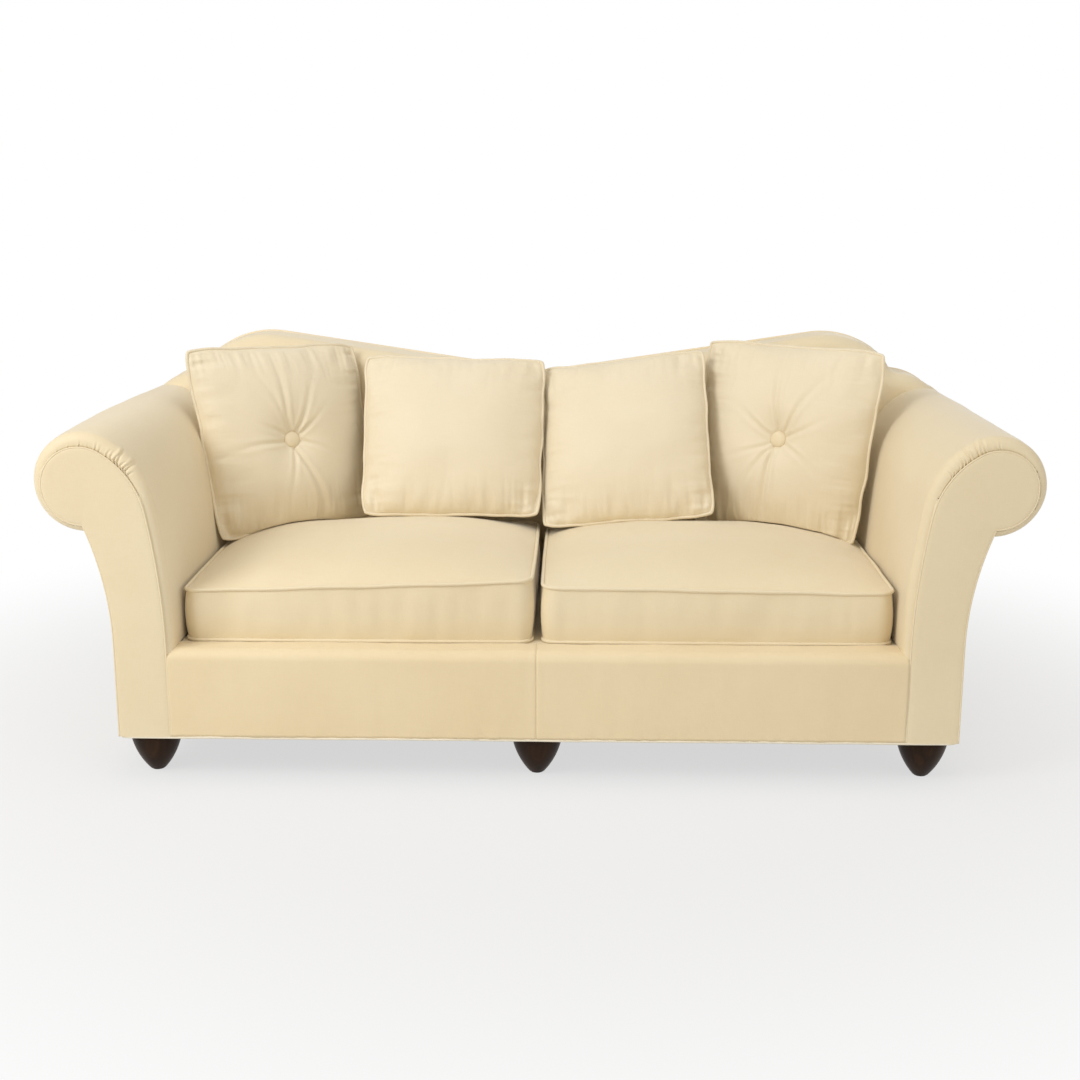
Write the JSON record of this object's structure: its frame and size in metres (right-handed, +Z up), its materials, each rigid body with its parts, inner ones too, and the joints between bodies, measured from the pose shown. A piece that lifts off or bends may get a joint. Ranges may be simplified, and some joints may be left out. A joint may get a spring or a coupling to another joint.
{
  "type": "rolled arm sofa",
  "caption": "upholstered sofa with scroll arms, a double-hump back, loose box seat cushions, loose plain and button-tufted pillows, and turned wooden feet",
  "frame": {"origin": "on the floor, under the middle of the sofa's width and depth", "axes": "+X to the right as seen from the front, +Y to the back, +Z up; left and right are as seen from the front"},
  "size_m": [2.146, 0.92, 0.904],
  "materials": {
    "cover_fabric": "soft cream satin-weave cotton",
    "padding": "foam and fibre wadding",
    "webbing": "woven jute webbing",
    "dust_cloth": "black cambric",
    "frame_wood": "unfinished hardwood",
    "form_board": "bent fibre board",
    "foot_wood": "dark satin stain",
    "steel": "plain steel",
    "glide": "matte nylon"
  },
  "bodies": {
    "frame": {"arm_roll_rails": "frame_wood", "arm_tack_rails": "frame_wood", "back_cover": "cover_fabric", "back_padding": "padding", "back_posts": "frame_wood", "back_tack_rails": "frame_wood", "back_top_rail": "frame_wood", "back_webbing": "webbing", "base_welt": "cover_fabric", "center_front_foot": "foot_wood", "center_rear_foot": "foot_wood", "center_stretcher": "frame_wood", "corner_blocks": "frame_wood", "dust_cover": "dust_cloth", "end_rails": "frame_wood", "foot_bolts": "steel", "foot_glides": "glide", "foot_tee_nuts": "steel", "front_border_padding": "padding", "front_rail": "frame_wood", "left_arm_cover": "cover_fabric", "left_arm_form": "form_board", "left_arm_front_board": "frame_wood", "left_arm_front_panel": "cover_fabric", "left_arm_padding": "padding", "left_arm_rear_board": "frame_wood", "left_front_border": "cover_fabric", "left_front_foot": "foot_wood", "left_outside_arm_cover": "cover_fabric", "left_rear_foot": "foot_wood", "outside_back_cover": "cover_fabric", "rear_rail": "frame_wood", "right_arm_cover": "cover_fabric", "right_arm_form": "form_board", "right_arm_front_board": "frame_wood", "right_arm_front_panel": "cover_fabric", "right_arm_padding": "padding", "right_arm_rear_board": "frame_wood", "right_front_border": "cover_fabric", "right_front_foot": "foot_wood", "right_outside_arm_cover": "cover_fabric", "right_rear_foot": "foot_wood", "seat_deck_cover": "cover_fabric", "seat_deck_pad": "padding", "seat_webbing_cross": "webbing", "seat_webbing_long": "webbing"},
    "left_seat": {"left_seat_cushion_core": "padding", "left_seat_cushion_cover": "cover_fabric"},
    "left_plain_pillow": {"left_plain_pillow_cover": "cover_fabric", "left_plain_pillow_insert": "padding"},
    "left_button_pillow": {"left_button_pillow_buttons": "cover_fabric", "left_button_pillow_cover": "cover_fabric", "left_button_pillow_insert": "padding"},
    "right_seat": {"right_seat_cushion_core": "padding", "right_seat_cushion_cover": "cover_fabric"},
    "right_plain_pillow": {"right_plain_pillow_cover": "cover_fabric", "right_plain_pillow_insert": "padding"},
    "right_button_pillow": {"right_button_pillow_buttons": "cover_fabric", "right_button_pillow_cover": "cover_fabric", "right_button_pillow_insert": "padding"}
  },
  "joints": [
    {"name": "left_seat_lift", "type": "slide", "parent": "frame", "child": "left_seat", "axis": [0, 0, 1], "range_m": [0, 0.5]},
    {"name": "left_plain_pillow_lift", "type": "slide", "parent": "left_seat", "child": "left_plain_pillow", "axis": [0, 0, 1], "range_m": [0, 0.5]},
    {"name": "left_button_pillow_lift", "type": "slide", "parent": "left_seat", "child": "left_button_pillow", "axis": [0, 0, 1], "range_m": [0, 0.5]},
    {"name": "right_seat_lift", "type": "slide", "parent": "frame", "child": "right_seat", "axis": [0, 0, 1], "range_m": [0, 0.5]},
    {"name": "right_plain_pillow_lift", "type": "slide", "parent": "right_seat", "child": "right_plain_pillow", "axis": [0, 0, 1], "range_m": [0, 0.5]},
    {"name": "right_button_pillow_lift", "type": "slide", "parent": "right_seat", "child": "right_button_pillow", "axis": [0.0995, 0, 0.995], "range_m": [0, 0.5]}
  ]
}
